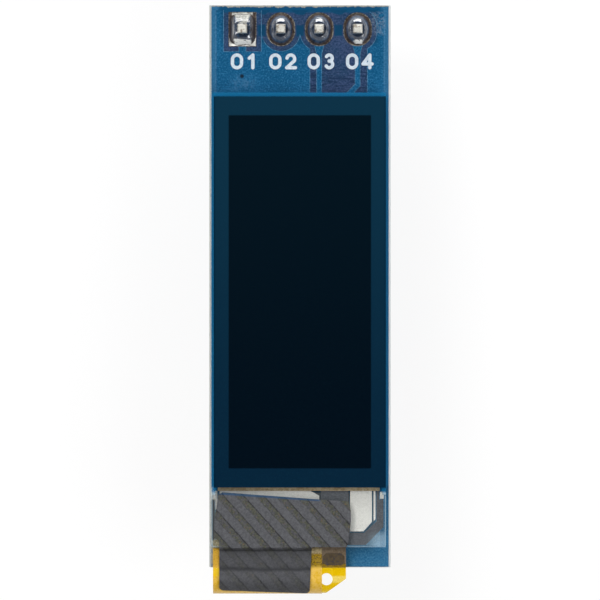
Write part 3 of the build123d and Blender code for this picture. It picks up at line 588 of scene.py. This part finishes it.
dress(pad_material(), *numbered("pad", 4))
dress(pin_material(), *numbered("header_pin", 4))
dress(
    solder_material("solder_square", SQUARE_TIN_COLUMNS, SQUARE_TIN_ROWS, SQUARE_HIGHLIGHT_ROWS),
    "solder_joint_1",
)
dress(solder_material("solder_round"), "solder_joint_2", "solder_joint_3")
dress(
    solder_material("solder_pointed", POINTED_TIN_COLUMNS, POINTED_TIN_ROWS),
    "solder_joint_4",
)
dress(plain_solder_material(), "part_solder", "tail_solder")
dress(
    grained(
        "terminal_tin",
        12.0,
        "#a5a39d",
        "#d6d4cd",
        shine=(0.3, 0.5),
        relief=(0.01, 0.6),
        metallic=1.0,
        roughness=0.35,
    ),
    "capacitor_terminals",
    "resistor_terminals",
    "regulator_leads",
    "diode_leads",
)
dress(
    grained(
        "copper_foil",
        8.0,
        "#6f6255",
        "#9b8f80",
        shine=(0.28, 0.5),
        metallic=0.7,
        roughness=0.4,
    ),
    "front_copper",
    "back_copper",
)


# Ink, plastics and the parts on the back.


def resistor_material():
    """Pale ceramic with the dark resistive film on its outer face."""
    t = Surface("resistor_ceramic", roughness=0.5)
    grain = t.noise(12.0, 4.0, 0.7)
    color = t.tones(t.z, *RESISTOR_FILM_STEP, "#d5d3cc", "#191a1c")
    t.use("Base Color", t.mix(t.ramp(grain, 0.6, 0.8), color, "#3a3b3d"))
    t.use("Roughness", t.ramp(grain, 0.3, 0.7, 0.35, 0.55))
    return t.material


dress(
    grained(
        "white_ink",
        6.0,
        "#b9c8d4",
        "#d6e0e8",
        shine=(0.5, 0.75),
        relief=(0.01, 0.5),
        spread=0.2,
        roughness=0.6,
    ),
    "pin_numbers",
    "back_markings",
)
dress(
    grained(
        "header_black",
        10.0,
        "#121314",
        "#232426",
        shine=(0.38, 0.55),
        relief=(0.02, 0.6),
        roughness=0.45,
    ),
    "header_housing",
)
dress(
    grained("moulded_black", 16.0, "#161617", "#2b2b2d", relief=(0.02, 0.7), roughness=0.55),
    "regulator_body",
    "diode_body",
    "driver_chip",
)
dress(
    grained("capacitor_ceramic", 9.0, "#7d6348", "#a98a68", shine=(0.34, 0.5), roughness=0.42),
    *numbered("capacitor", 7),
)
dress(resistor_material(), *numbered("resistor", 4))


# Display panel.


def polarizer_material():
    """Near black film, a little lighter in a border round the active area."""
    t = Surface("polarizer_film", roughness=0.16, Specular_IOR_Level=0.35)
    low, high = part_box("cathode_film")
    face_low, face_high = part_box("polarizer")
    nudge = (face_low.x + face_high.x - low.x - high.x) / 2
    columns = (low.x + nudge) / MM, (high.x + nudge) / MM
    inside = t.area(columns, (low.y / MM, high.y / MM), 0.05, 0.05)
    grain = t.noise(9.0, 5.0, 0.75)
    specks = t.ramp(grain, 0.45, 0.75, 0.0, 0.35)
    # Painted sheen: both the border and the active area a little lighter toward the top.
    height = t.ramp(t.y, -30.0, -5.0)
    outer = t.mix(specks, t.mix(height, "#052338", "#0a2f43"), "#0d364c")
    outer = t.mix(t.ramp(t.absolute(t.x), 5.57, 5.62, 0.0, 0.7), outer, "#001c30")
    inner = t.mix(specks, t.mix(height, "#000c18", "#01121d"), "#031722")
    t.use("Base Color", t.mix(inside, outer, inner))
    t.use("Normal", t.bump(grain, 0.004, 0.6))
    return t.material


def glass_material(name, node):
    """Clear glass through transparency.

    Its sawn sides are pale, a rim outside the ledge carries the board's blue as a painted
    reflection, the ledge's edges catch the light and one corner of the ledge is frosted.
    """
    t = Surface(name, roughness=0.05)
    x, y = t.x, t.y
    facing = t.split(t.put("ShaderNodeNewGeometry").outputs["Normal"])[2]
    side = t.ramp(t.absolute(facing), 0.5, 0.6, 1.0, 0.0)
    chips = t.noise(5.0, 4.0, 0.7)
    low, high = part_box(node)
    from_left, from_right = t.subtract(x, low.x / MM), t.subtract(high.x / MM, x)
    from_bottom, from_top = t.subtract(y, low.y / MM), t.subtract(high.y / MM, y)
    ledge = t.ramp(y, LEDGE_START, LEDGE_START - 0.15)
    off_ledge = t.subtract(1.0, ledge)

    edges = [t.ramp(gap, 0.03, 0.09, 1.0, 0.0) for gap in (from_left, from_right, from_bottom)]
    glint = t.multiply(t.maximum(*edges), ledge, t.ramp(from_bottom, 0.03, 0.09, 0.5, 1.0))
    rim = t.maximum(
        t.ramp(from_left, 0.2, 0.3, 1.0, 0.0),
        t.ramp(from_right, 0.2, 0.3, 1.0, 0.0),
        t.ramp(from_top, 0.25, 0.35, 1.0, 0.0),
    )
    rim = t.multiply(rim, off_ledge)
    frost = t.multiply(t.ramp(x, 4.1, 5.2), t.ramp(y, -32.9, -33.7))
    frost = t.multiply(frost, t.ramp(chips, 0.25, 0.6, 0.6, 1.0))
    alpha = t.maximum(
        t.multiply(glint, 0.4),
        t.multiply(frost, 0.3),
        t.multiply(side, 0.5),
        t.multiply(rim, 0.55),
        0.035,
    )
    t.use("Alpha", alpha)
    # Painted reflection: the board's blue on the rim outside the ledge.
    blue = t.multiply(off_ledge, t.ramp(y, LEDGE_START, LEDGE_START + 0.2))
    t.use("Base Color", t.mix(blue, t.mix(side, "#b4d0e0", "#a9c6d6"), "#1c78ab"))
    t.use("Roughness", t.maximum(t.multiply(side, 0.5), 0.05))
    t.use("Normal", t.bump(t.multiply(chips, side), 0.04, 0.8))
    return t.material


def emitter_material():
    t = Surface("emitter_dark", roughness=0.3)
    t.use("Base Color", t.mix(t.noise(20.0, 3.0, 0.7), "#04070a", "#0e1419"))
    return t.material


def cathode_material():
    t = Surface("cathode_metal", metallic=1.0, roughness=0.3)
    t.use("Base Color", t.mix(t.noise(3.0, 3.0, 0.6), "#8f9294", "#b9bbbb"))
    return t.material


def plate_material():
    """Pale contact plates, stained tan at the ledge's lower left."""
    t = Surface("contact_plates_grey", metallic=0.1, roughness=0.5)
    grain = t.noise(9.0, 5.0, 0.75)
    color = t.tones(grain, 0.35, 0.65, "#dbdad2", "#e9e8e1")
    stain = t.tones(grain, 0.42, 0.54, "#7d6a3e", "#cbbc92")
    stained = t.multiply(t.ramp(t.y, -33.5, -33.6), t.ramp(t.x, -4.0, -4.2))
    t.use("Base Color", t.mix(stained, color, stain))
    t.use("Roughness", t.ramp(grain, 0.3, 0.7, 0.35, 0.55))
    return t.material


def band_material():
    """Grey bands of fine metal tracks."""
    t = Surface("track_bands_grey", roughness=0.5)
    tracks = t.put(
        "ShaderNodeTexWave",
        {"wave_type": "BANDS", "bands_direction": "X"},
        Vector=t.vector,
        Scale=4.0,
        Distortion=0.6,
    )
    grain = t.noise(9.0, 5.0, 0.75)
    color = t.tones(tracks.outputs[0], 0.4, 0.6, "#46474a", "#54555a")
    color = t.mix(t.ramp(grain, 0.5, 0.62, 0.0, 0.5), color, "#686a70")
    t.use("Base Color", t.mix(t.ramp(grain, 0.5, 0.38, 0.0, 0.5), color, "#35363a"))
    return t.material


dress(polarizer_material(), "polarizer")
dress(glass_material("ledge_glass", "display_glass"), "display_glass")
dress(glass_material("cap_glass_clear", "cap_glass"), "cap_glass")
dress(
    grained("seal_resin", 4.0, "#ab9062", "#d0be98", shine=(0.4, 0.6), roughness=0.5),
    "seal_bead",
)
dress(
    grained(
        "foam_tape",
        18.0,
        "#d9d9d4",
        "#f1f1ee",
        relief=(0.04, 0.9),
        coarse=0.8,
        roughness=0.85,
    ),
    "mounting_tape",
    "desiccant_sheet",
)
dress(emitter_material(), "emitter_layer")
dress(cathode_material(), "cathode_film")
dress(plate_material(), "contact_plates")
dress(band_material(), "track_bands")


# Folded film.


def film_material():
    """Amber film: dull and stained over the board, clear and bright yellow beyond its end."""
    t = Surface("amber_film", roughness=0.25)
    x, y = t.x, t.y
    mottle = t.noise(2.2, 4.0, 0.65)
    fine = t.noise(9.0, 4.0, 0.75)

    dull = t.tones(fine, 0.4, 0.62, "#6c5d4c", "#80705c")
    dull = t.mix(t.area(EAR_FOOT_COLUMNS, EAR_FOOT_ROWS, 0.04, 0.03), dull, "#54452a")
    stain = t.tones(fine, 0.4, 0.55, "#9a865a", "#d6c9a4")
    dull = t.mix(t.ramp(x, -5.2, -5.3), dull, stain)
    mustard = t.tones(fine, 0.4, 0.6, "#7a6014", "#95781a")
    dull = t.mix(t.slab(y, *MUSTARD_ROWS, 0.05), dull, mustard)
    behind = t.tones(mottle, 0.35, 0.65, "#b58a2a", "#c79c38")
    dull = t.mix(t.ramp(t.z, FILM_MIDDLE, FILM_MIDDLE - 0.2), dull, behind)

    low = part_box("flex_film")[0]
    thin = t.maximum(
        t.ramp(t.subtract(x, low.x / MM), 0.05, 0.4, 1.0, 0.0),
        t.ramp(t.subtract(y, low.y / MM), 0.02, 0.2, 1.0, 0.0),
    )
    pale = t.maximum(t.slab(y, *GLARE_ROWS, 0.06), t.multiply(thin, 0.7))
    pale = t.multiply(pale, 0.9)
    bright = t.mix(pale, t.tones(mottle, 0.35, 0.65, "#f3cc02", "#f8d612"), "#ffeb94")

    beyond = t.ramp(y, BOARD_END - 0.04, BOARD_END + 0.04, 1.0, 0.0)
    t.use("Base Color", t.mix(beyond, dull, bright))
    t.use("Roughness", t.ramp(mottle, 0.3, 0.7, 0.2, 0.36))
    clear_color = t.mix(pale, (0.95, 0.78, 0.004), (0.97, 0.86, 0.3))
    clear = t.put("ShaderNodeBsdfTransparent", Color=clear_color)
    solid = t.subtract(1.0, t.multiply(beyond, 0.62))
    t.finish(t.join(solid, clear.outputs[0], t.shader.outputs[0]))
    return t.material


def coverlay_material():
    """Amber coverlay: tan, then mustard, over the board's front, and plain amber elsewhere."""
    t = Surface("coverlay_amber", roughness=0.3)
    x, y, z = t.x, t.y, t.z
    mottle = t.noise(3.0, 4.0, 0.65)
    fine = t.noise(10.0, 4.0, 0.75)
    front = t.ramp(z, FILM_MIDDLE, FILM_MIDDLE + 0.2)

    color = t.tones(mottle, 0.35, 0.65, "#e9b832", "#f2c75a")
    bend = t.multiply(t.slab(y, *BEND_ROWS, 0.05), t.ramp(x, -5.0, -5.2), 0.85)
    color = t.mix(bend, color, "#f3c70a")
    color = t.mix(t.multiply(t.ramp(fine, 0.6, 0.66, 0.0, 0.6), front), color, "#fbe7ab")
    behind = t.ramp(y, BOARD_END - 0.1, BOARD_END + 0.1)
    behind = t.multiply(behind, t.ramp(z, FILM_MIDDLE, FILM_MIDDLE - 0.2))
    color = t.mix(behind, color, t.tones(mottle, 0.35, 0.65, "#c18f27", "#d2a23a"))

    tan = t.tones(fine, 0.4, 0.6, "#8c7a55", "#bfae86")
    mustard = t.tones(fine, 0.42, 0.52, "#57471d", "#ab8a1d")
    tan = t.mix(t.ramp(y, -34.6, -34.75), tan, mustard)
    left = t.tones(fine, 0.36, 0.44, "#8f6d24", "#d9a834")
    tan = t.mix(t.ramp(x, -4.0, -4.2), tan, left)
    over_board = t.multiply(t.ramp(y, BOARD_END - 0.1, BOARD_END + 0.2), front)
    t.use("Base Color", t.mix(over_board, color, tan))
    t.use("Roughness", t.ramp(mottle, 0.3, 0.7, 0.22, 0.4))
    t.use("Normal", t.bump(mottle, 0.02, 0.5))
    return t.material


def patch_material():
    """Brown print on the ear, with uneven dark specks."""
    t = Surface("patch_brown", roughness=0.45)
    grain = t.noise(5.0, 4.0, 0.7)
    specks = t.ramp(t.noise(7.5, 4.0, 0.7), 0.54, 0.58, 0.0, 0.8)
    t.use("Base Color", t.mix(specks, t.tones(grain, 0.35, 0.65, "#443621", "#574629"), "#2c2c36"))
    t.use("Roughness", t.ramp(grain, 0.3, 0.7, 0.38, 0.55))
    return t.material


def tape_material():
    """Ribbed tape: grey ribs, olive hollows with rust specks, and painted shade as dark lines along
    the hollows' edges.
    """
    t = Surface("ribbed_tape", roughness=0.7, Specular_IOR_Level=0.25)
    x, y = t.x, t.y
    grain = t.noise(7.0, 5.0, 0.75)
    grit = t.noise(18.0, 4.0, 0.8)

    # Distance from the middle of the nearest hollow, across the ribs.
    angle = math.radians(90 - RIB_ANGLE)
    ahead = t.multiply(t.subtract(x, RIB_SHIFT), math.cos(angle))
    aside = t.subtract(y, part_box("display_glass")[0].y / MM)
    across = t.add(t.add(ahead, t.multiply(aside, math.sin(angle))), 100.5 * RIB_PITCH)
    across = t.add(across, t.sway(t.noise(2.6, 4.0, 0.6), 0.16))
    offset = t.subtract(t.calc("MODULO", across, RIB_PITCH), RIB_PITCH / 2)
    half = RIB_GAP / 2

    folded = t.ramp(y, -34.3, -34.6)
    clear = t.subtract(1.0, t.multiply(folded, 0.5))
    gap = t.multiply(t.ramp(t.absolute(offset), half - 0.04, half + 0.04, 1.0, 0.0), clear)
    # Painted shade at the ribs' steps: a strong dark line on one edge of each hollow and a weak one
    # on the other.
    strong = t.slab(offset, half - 0.04, half + 0.04, 0.03)
    strong = t.multiply(strong, t.ramp(t.noise(2.6, 4.0, 0.7), 0.4, 0.52, 0.45, 1.0))
    weak = t.slab(offset, -half - 0.02, -half + 0.02, 0.03)
    weak = t.multiply(weak, t.ramp(t.noise(1.6, 3.0, 0.6), 0.46, 0.54, 0.25, 1.0), 0.7)
    line = t.multiply(t.maximum(strong, weak), clear, 0.95)

    rib = t.tones(grain, 0.38, 0.62, "#4f5054", "#616266")
    hollow = t.tones(grain, 0.38, 0.62, "#444446", "#56565a")
    olive = t.tones(grain, 0.4, 0.6, "#42433a", "#5a5c4c")
    hollow = t.mix(t.ramp(t.noise(3.4, 4.0, 0.65), 0.44, 0.54, 0.0, 0.9), hollow, olive)
    hollow = t.mix(t.ramp(t.noise(5.5, 4.0, 0.7), 0.62, 0.66, 0.0, 0.6), hollow, "#7d6238")
    color = t.mix(line, t.mix(gap, rib, hollow), "#2b2b2f")
    color = t.mix(t.ramp(t.noise(7.5, 4.0, 0.7), 0.64, 0.7, 0.0, 0.4), color, "#7c8790")

    # Painted shade in the creases of the fold, the blue line at the upper edge and the darker fold.
    bent = t.add(y, t.sway(t.noise(0.7, 3.0), 0.35))
    crease = t.maximum(
        t.multiply(t.slab(bent, *UPPER_CREASE_SHADE_ROWS, 0.1), 0.6),
        t.multiply(t.slab(bent, *LOWER_CREASE_SHADE_ROWS, 0.12), 0.95),
    )
    color = t.mix(crease, color, "#2a2b2f")
    slant = t.add(t.add(y, t.multiply(x, 0.067)), 31.036)
    edge = t.multiply(t.ramp(slant, -0.1, -0.04), t.ramp(x, 1.4, 1.2), 0.75)
    color = t.mix(edge, color, "#1a4a70")
    color = t.mix(t.multiply(folded, 0.3), color, "#37383b")
    t.use("Base Color", t.mix(t.ramp(grit, 0.4, 0.7, 0.0, 0.4), color, "#46474b"))
    t.use("Normal", t.bump(grain, 0.03, 0.8))
    return t.material


def lift(x, y):
    """How far the tape stands off what it covers, in millimetres: pillows between its creases."""
    sway = 0.1 * noise.noise(Vector((x * 0.7, 3.1, 0)))
    uneven = 0.75 + 0.5 * noise.noise(Vector((x * 0.55, y * 0.5, 7.7)))
    if y > TAPE_STEP_END:
        flat = max(0.0, noise.noise(Vector((x * 0.8, y * 0.8, 1.3))))
        return FLAT_LIFT * flat * min(1.0, max(0.0, (y - TAPE_STEP_END - 0.3) / 0.5))
    first, second = (crease + sway for crease in CREASES)
    if y > first:
        return 0.0
    if y > second:
        along = (first - y) / (first - second)
        return PILLOW_LIFT * uneven * math.sin(math.pi * along) ** PILLOW_POWER
    along = min(1.0, (second - y) / (second - TAPE_END))
    return FOLD_LIFT * uneven * math.sin(math.pi * along) ** PILLOW_POWER


def wrinkled_tape(mat):
    """The cover tape cut finer and lifted between its creases, in place of the plain one."""
    work = bmesh.new()
    work.from_mesh(nodes["cover_tape"].data)
    bmesh.ops.remove_doubles(work, verts=work.verts, dist=MERGE_DISTANCE)
    low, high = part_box("cover_tape")
    cuts = []
    y = high.y / MM - COARSE_CUT
    while y > low.y / MM:
        cuts.append(((0, y * MM, 0), (0, 1, 0)))
        y -= COARSE_CUT if y > FINE_CUT_START else FINE_CUT
    x = low.x / MM + COARSE_CUT
    while x < high.x / MM:
        cuts.append(((x * MM, 0, 0), (1, 0, 0)))
        x += COARSE_CUT
    for place, normal in cuts:
        everything = work.verts[:] + work.edges[:] + work.faces[:]
        bmesh.ops.bisect_plane(work, geom=everything, dist=1e-8, plane_co=place, plane_no=normal)
    bmesh.ops.dissolve_degenerate(work, dist=5e-7, edges=work.edges)
    center = Vector((0, FOLD_CENTER, FOLD_HEIGHT))
    for vert in work.verts:
        x, y, z = vert.co / MM
        outward = Vector((0, 0, 1))
        if y < FOLD_CENTER:
            outward = Vector((0, y, z)) - center
            outward.normalize()
        vert.co += outward * lift(x, y) * MM
    mesh = bpy.data.meshes.new("cover_tape_wrinkled")
    work.to_mesh(mesh)
    work.free()
    mesh.materials.append(mat)
    for polygon in mesh.polygons:
        polygon.use_smooth = True
    mesh.set_sharp_from_angle(angle=math.radians(35))
    obj = bpy.data.objects.new("cover_tape_wrinkled", mesh)
    scene.collection.objects.link(obj)
    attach(obj, "root")
    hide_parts("cover_tape")


dress(film_material(), "flex_film")
dress(coverlay_material(), "flex_coverlay")
dress(grained("lead_copper", 8.0, "#b9a56a", "#d8c88e", metallic=1.0, roughness=0.35), "flex_leads")
dress(patch_material(), "ear_patch")
ribbed = tape_material()
dress(ribbed, "cover_tape")
wrinkled_tape(ribbed)


def soften(width, *names):
    """Rounds the sharp edges of the named parts, by a width in millimetres."""
    for name in names:
        weld = nodes[name].modifiers.new("weld", "WELD")
        weld.merge_threshold = 1e-6
        bevel = nodes[name].modifiers.new("bevel", "BEVEL")
        bevel.width = width * MM
        bevel.segments = 2
        bevel.limit_method = "ANGLE"
        bevel.angle_limit = math.radians(40)
        bevel.harden_normals = False


soften(0.06, "header_housing", "regulator_body", "driver_chip")
soften(0.03, "diode_body", *numbered("capacitor", 7))
soften(0.02, *numbered("resistor", 4))


# Stage, light and camera.


def floor():
    """A wide floor just under the pins, seen as a white backdrop that keeps a faint shadow.

    It lets light and views through from below, so that the part's back can be seen.
    """
    half = FLOOR_HALF
    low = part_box("header_pin_1")[0].z - FLOOR_DROP
    mesh = bpy.data.meshes.new("floor")
    corners = [(-half, -half, low), (half, -half, low), (half, half, low), (-half, half, low)]
    mesh.from_pydata(corners, [], [(0, 1, 2, 3)])
    obj = bpy.data.objects.new("floor", mesh)
    scene.collection.objects.link(obj)

    t = Surface("floor_white", color=(0.9, 0.9, 0.9), roughness=0.9)
    path = t.put("ShaderNodeLightPath").outputs
    seen = t.add(path["Is Camera Ray"], path["Is Glossy Ray"])
    seen = t.calc("ADD", seen, path["Is Transmission Ray"], clamp=True)
    away = t.put("ShaderNodeVectorMath", {"operation": "DISTANCE"})
    t.set(away.inputs[0], t.vector)
    away.inputs[1].default_value = (*SHADOW_MIDDLE, low / MM)
    share = t.ramp(away.outputs["Value"], *SHADOW_REACH, SHADOW_GLOW_SHARE, 1.0)
    seen = t.multiply(seen, share)
    glow = t.put("ShaderNodeEmission", Color=(1, 1, 1, 1), Strength=FLOOR_GLOW)
    above = t.join(seen, t.shader.outputs[0], glow.outputs[0])
    through = t.put("ShaderNodeBsdfTransparent")
    under = t.put("ShaderNodeNewGeometry").outputs["Backfacing"]
    t.finish(t.join(under, above, through.outputs[0]))
    mesh.materials.append(t.material)


def sky():
    """A dark ceiling, lighter toward the horizon, before a backdrop that is seen as white."""
    world = bpy.data.worlds.new("studio")
    world.use_nodes = True
    scene.world = world
    t = Nodes(world)
    parts = t.put("ShaderNodeSeparateXYZ")
    t.set(parts.inputs[0], t.put("ShaderNodeTexCoord").outputs["Generated"])
    height = parts.outputs[2]
    ceiling = t.ramp(height, *CEILING_STEP, *CEILING_LEVELS, kind="LINEAR")
    horizon = t.ramp(height, 0.0, HORIZON_END, 1.0, 0.0, kind="LINEAR")
    path = t.put("ShaderNodeLightPath").outputs
    mirrored = t.maximum(path["Is Glossy Ray"], path["Is Transmission Ray"])
    strength = t.maximum(path["Is Camera Ray"], ceiling, t.multiply(mirrored, horizon))
    background = t.tree.nodes["Background"]
    background.inputs["Color"].default_value = (1, 1, 1, 1)
    t.set(background.inputs["Strength"], strength)


def lamp(name, place, target, size, power):
    """A rectangular lamp, turned to its target."""
    light = bpy.data.lights.new(name, "AREA")
    light.shape = "RECTANGLE"
    light.size, light.size_y = size
    light.energy = power
    obj = bpy.data.objects.new(name, light)
    scene.collection.objects.link(obj)
    obj.location = place
    obj.rotation_euler = (Vector(target) - Vector(place)).to_track_quat("-Z", "Y").to_euler()


floor()
sky()
lamp("key", place=(-0.14, 0.1, 0.3), target=VIEW_MIDDLE, size=(0.16, 0.16), power=0.6)
lamp("fill", place=(0.2, -0.12, 0.26), target=VIEW_MIDDLE, size=(0.2, 0.2), power=0.46)
lamp("crescent", place=(0.0, 0.2, 0.12), target=HEADER_MIDDLE, size=(0.24, 0.12), power=0.34)

camera_data = bpy.data.cameras.new("camera")
camera = bpy.data.objects.new("camera", camera_data)
scene.collection.objects.link(camera)
camera_data.lens = LENS
camera_data.sensor_width = SENSOR
camera_data.clip_start = 0.01
camera_data.clip_end = 10
camera.location = VIEW_MIDDLE + Vector((0, 0, VIEW_WIDTH * LENS / SENSOR))
camera.rotation_euler = (0, 0, 0)
scene.camera = camera
scene.view_settings.view_transform = "Standard"
